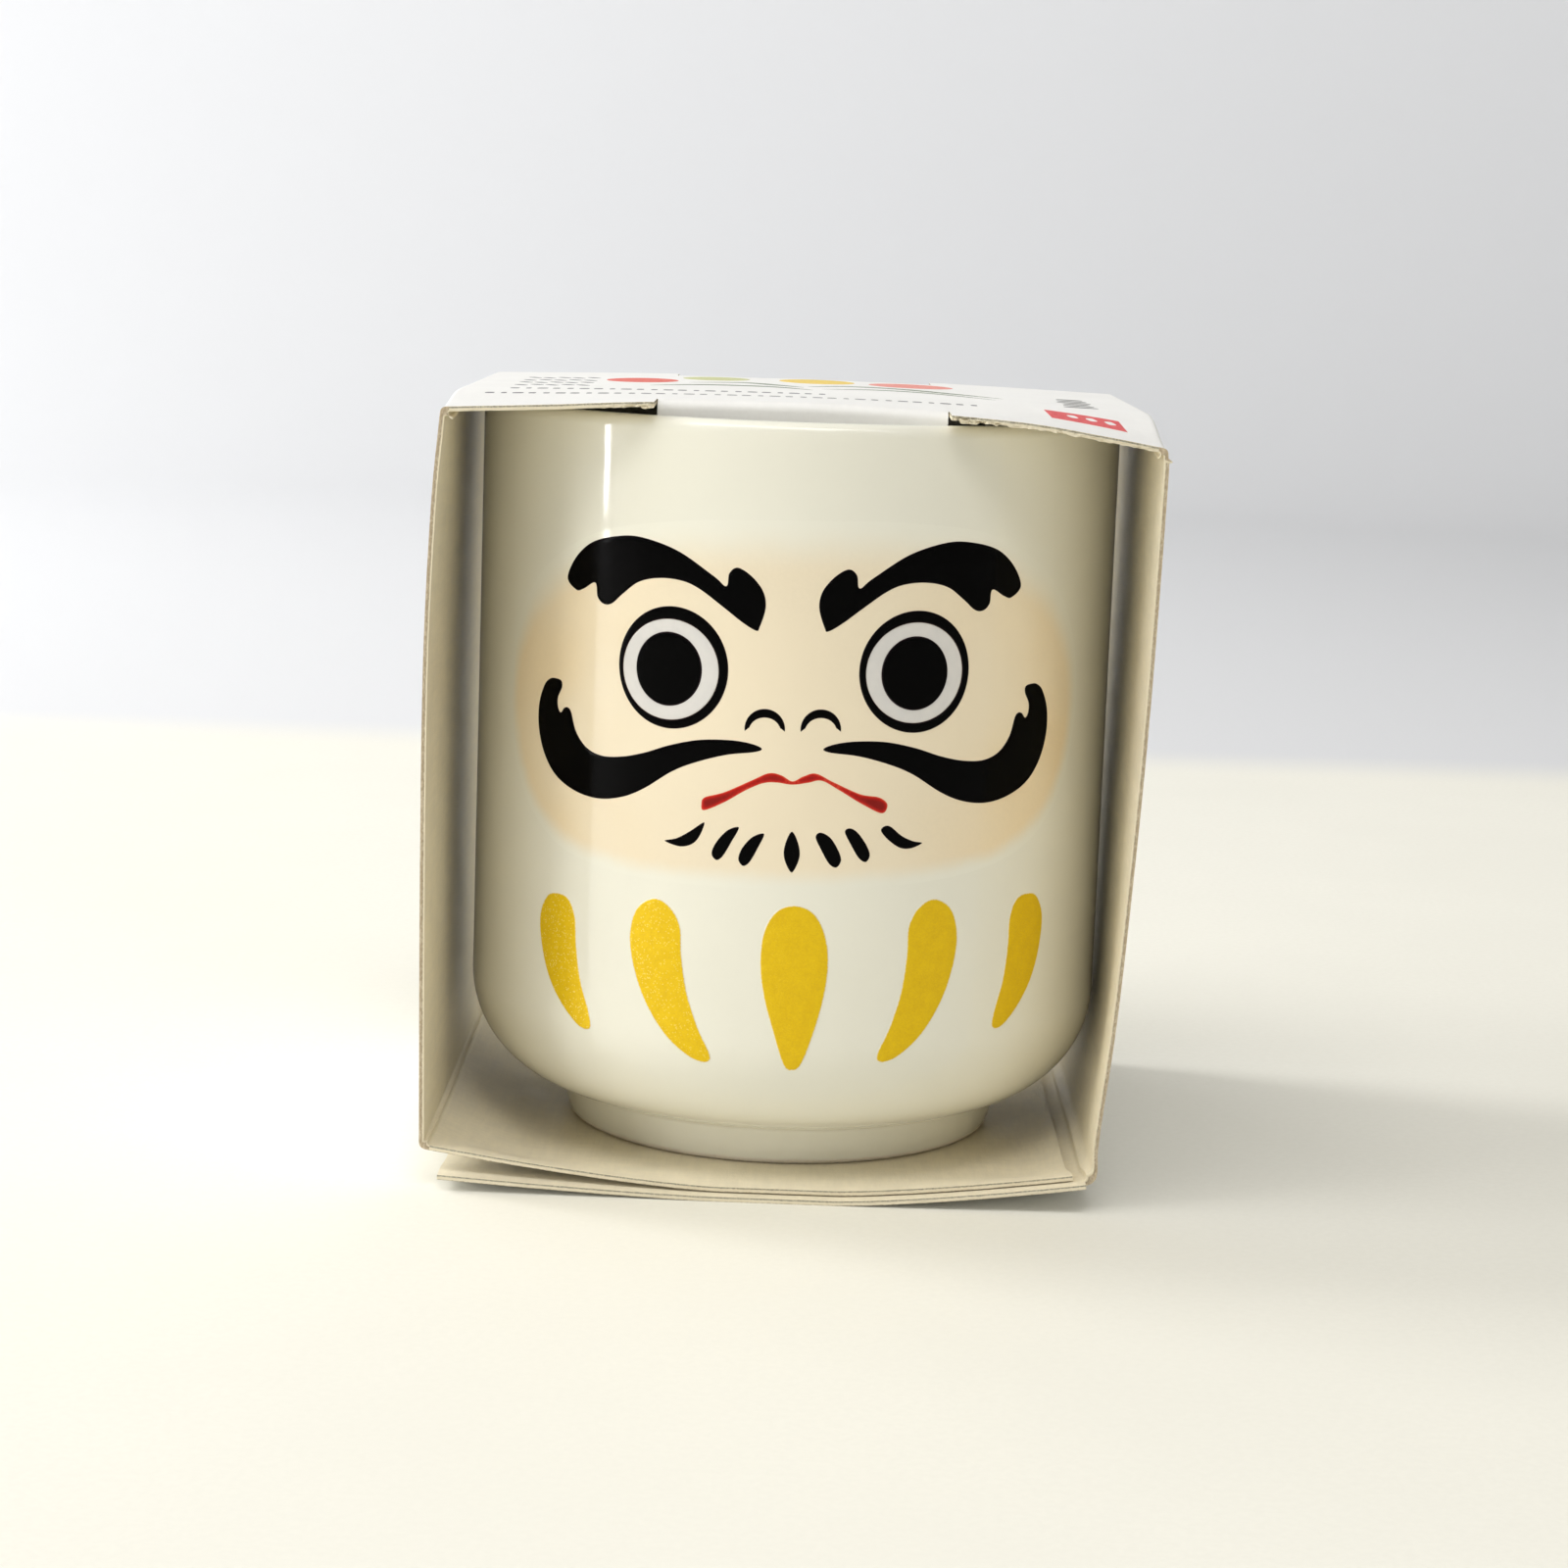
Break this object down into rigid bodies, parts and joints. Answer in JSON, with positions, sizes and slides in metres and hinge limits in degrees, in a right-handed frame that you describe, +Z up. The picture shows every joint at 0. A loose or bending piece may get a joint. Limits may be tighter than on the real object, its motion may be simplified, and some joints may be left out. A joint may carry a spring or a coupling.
{
  "type": "tea cup in display sleeve",
  "caption": "Handleless glazed cup printed with a daruma face, held in a folded paperboard sleeve open at front and back, locked by tabs tucked into the mouth.",
  "frame": {"origin": "on the table under the cup's axis, at the lowest face of the sleeve", "axes": "+X to the viewer's right, +Y to the back of the sleeve, +Z up along the cup's axis"},
  "size_m": [0.0752, 0.0702, 0.0828],
  "materials": {
    "white_porcelain": "clear gloss glaze over white porcelain, unglazed foot ring",
    "flesh_enamel": "thin satin cream overglaze print",
    "black_enamel": "glossy black overglaze print",
    "red_enamel": "glossy red overglaze print",
    "gold_enamel": "yellow gold overglaze print with fine metallic grain",
    "white_paperboard": "white coated board, matt inside, soft sheen outside, grey line in the cut edge",
    "glue": "dried cream paper glue"
  },
  "bodies": {
    "sleeve": {"top_panel": "white_paperboard", "left_wall": "white_paperboard", "right_wall": "white_paperboard", "bottom_inner_panel": "white_paperboard", "bottom_outer_panel": "white_paperboard", "fold_top_left": "white_paperboard", "fold_top_right": "white_paperboard", "fold_bottom_left": "white_paperboard", "fold_bottom_right": "white_paperboard", "glue_strip": "glue"},
    "cup": {"cup_body": "white_porcelain", "face_field": "flesh_enamel", "brow_left": "black_enamel", "brow_right": "black_enamel", "eye_outline_left": "black_enamel", "eye_outline_right": "black_enamel", "pupil_left": "black_enamel", "pupil_right": "black_enamel", "nose_marks": "black_enamel", "moustache_left": "black_enamel", "moustache_right": "black_enamel", "chin_whiskers": "black_enamel", "mouth_line": "red_enamel", "gold_stroke_1": "gold_enamel", "gold_stroke_2": "gold_enamel", "gold_stroke_3": "gold_enamel", "gold_stroke_4": "gold_enamel", "gold_stroke_5": "gold_enamel"},
    "front_tab": {"front_lock_tab": "white_paperboard"},
    "rear_tab": {"rear_lock_tab": "white_paperboard"}
  },
  "joints": [
    {"name": "cup_slide", "type": "slide", "parent": "sleeve", "child": "cup", "axis": [0, 1, 0], "range_m": [0, 0.085], "deforming": ["front_lock_tab", "rear_lock_tab"]},
    {"name": "front_tab_crease", "type": "hinge", "parent": "sleeve", "child": "front_tab", "pos_m": [0, -0.0273, 0.08152], "axis": [1, 0, 0], "range_deg": [0, 80]},
    {"name": "rear_tab_crease", "type": "hinge", "parent": "sleeve", "child": "rear_tab", "pos_m": [0, 0.0273, 0.08152], "axis": [-1, 0, 0], "range_deg": [0, 80]}
  ]
}
